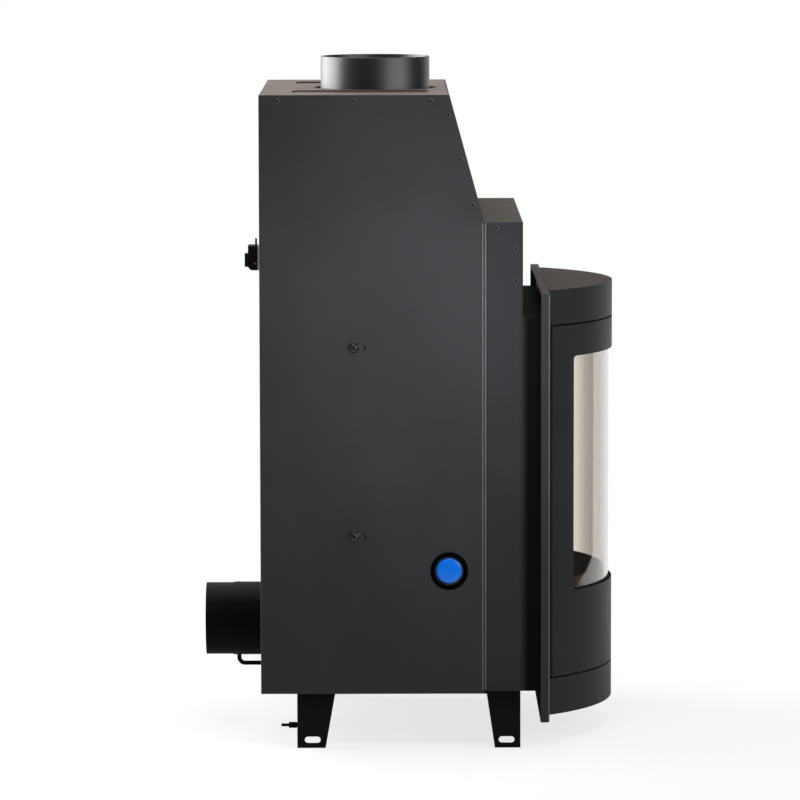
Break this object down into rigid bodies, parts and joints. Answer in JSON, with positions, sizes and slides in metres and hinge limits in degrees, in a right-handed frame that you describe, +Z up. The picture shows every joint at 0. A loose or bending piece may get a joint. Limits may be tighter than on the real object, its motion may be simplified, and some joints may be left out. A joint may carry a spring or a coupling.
{
  "type": "fireplace insert",
  "caption": "Wood-burning fireplace insert with a sheet-metal convection casing, curved glazed door in a front flange, flue collar, rear air inlet with damper and folded legs",
  "frame": {"origin": "centre of the bounding box's base, on the floor", "axes": "+Z up; -Y is the front, with the curved door; +X is the right-hand side seen from the front"},
  "size_m": [0.511, 0.5644, 0.9263],
  "materials": {
    "black_paint": "matt heat-resistant paint",
    "firebox_steel": "dark heat-resistant coating",
    "zinc_steel": "plain steel",
    "lining_board": "pressed mineral board",
    "grate_iron": "raw casting",
    "glass": "clear ceramic glass",
    "handle_steel": "satin steel",
    "fibre_seal": "braided fibre",
    "blue_plastic": "moulded",
    "black_rubber": "moulded",
    "black_plastic": "moulded",
    "pale_board": "insulating sheet",
    "red_plastic": "insulating sleeve"
  },
  "bodies": {
    "stove": {"air_box": "firebox_steel", "air_inlet_spigot": "black_paint", "ash_pan": "zinc_steel", "baffle_board": "lining_board", "baffle_plate": "firebox_steel", "base_rails": "firebox_steel", "bay_bottom_cap": "black_paint", "bay_top_cap": "black_paint", "casing_bolts": "zinc_steel", "casing_rear_panel": "black_paint", "casing_rivets": "zinc_steel", "casing_side_left": "black_paint", "casing_side_right": "black_paint", "casing_slant_panel": "black_paint", "casing_standoffs": "firebox_steel", "casing_top_panel": "black_paint", "fire_grate": "grate_iron", "firebox_back": "firebox_steel", "firebox_floor": "firebox_steel", "firebox_header": "firebox_steel", "firebox_roof": "firebox_steel", "firebox_side_left": "firebox_steel", "firebox_side_right": "firebox_steel", "flue_collar": "firebox_steel", "front_box_floor": "black_paint", "front_box_hood": "black_paint", "front_box_side_left": "black_paint", "front_box_side_right": "black_paint", "front_flange": "black_paint", "hearth_slab": "lining_board", "leg_front_left": "black_paint", "leg_front_right": "black_paint", "leg_rear_left": "black_paint", "leg_rear_right": "black_paint", "lining_back": "lining_board", "lining_left": "lining_board", "lining_right": "lining_board", "log_guard": "grate_iron", "outlet_blanks": "black_paint", "rear_spacer": "zinc_steel", "side_port_grommet": "black_rubber", "smoke_dome": "firebox_steel", "terminal_base": "pale_board", "terminal_block": "black_plastic", "terminal_tab": "red_plastic"},
    "door": {"door_skin": "black_paint", "door_end_plates": "black_paint", "door_frame": "black_paint", "door_seal": "fibre_seal", "door_glass": "glass", "glass_gasket": "fibre_seal", "glass_clips": "zinc_steel", "hinge_pins": "zinc_steel", "latch_bearings": "handle_steel"},
    "latch": {"door_handle": "handle_steel", "latch_tongue": "zinc_steel"},
    "damper": {"damper_disc": "zinc_steel", "damper_spindle": "zinc_steel"},
    "port_cap": {"side_port_cap": "blue_plastic"}
  },
  "joints": [
    {"name": "door_hinge", "type": "hinge", "parent": "stove", "child": "door", "pos_m": [-0.18432, -0.19355, 0.3293], "axis": [0, 0, -1], "range_deg": [0, 110]},
    {"name": "door_latch", "type": "hinge", "parent": "door", "child": "latch", "pos_m": [0.128, -0.18775, 0.1683], "axis": [0, -1, 0], "range_deg": [0, 90]},
    {"name": "damper_turn", "type": "hinge", "parent": "stove", "child": "damper", "pos_m": [0, 0.23695, 0.1433], "axis": [0, 0, 1], "range_deg": [0, 90]},
    {"name": "port_cap_pull", "type": "slide", "parent": "stove", "child": "port_cap", "axis": [-1, 0, 0], "range_m": [0, 0.03]}
  ]
}
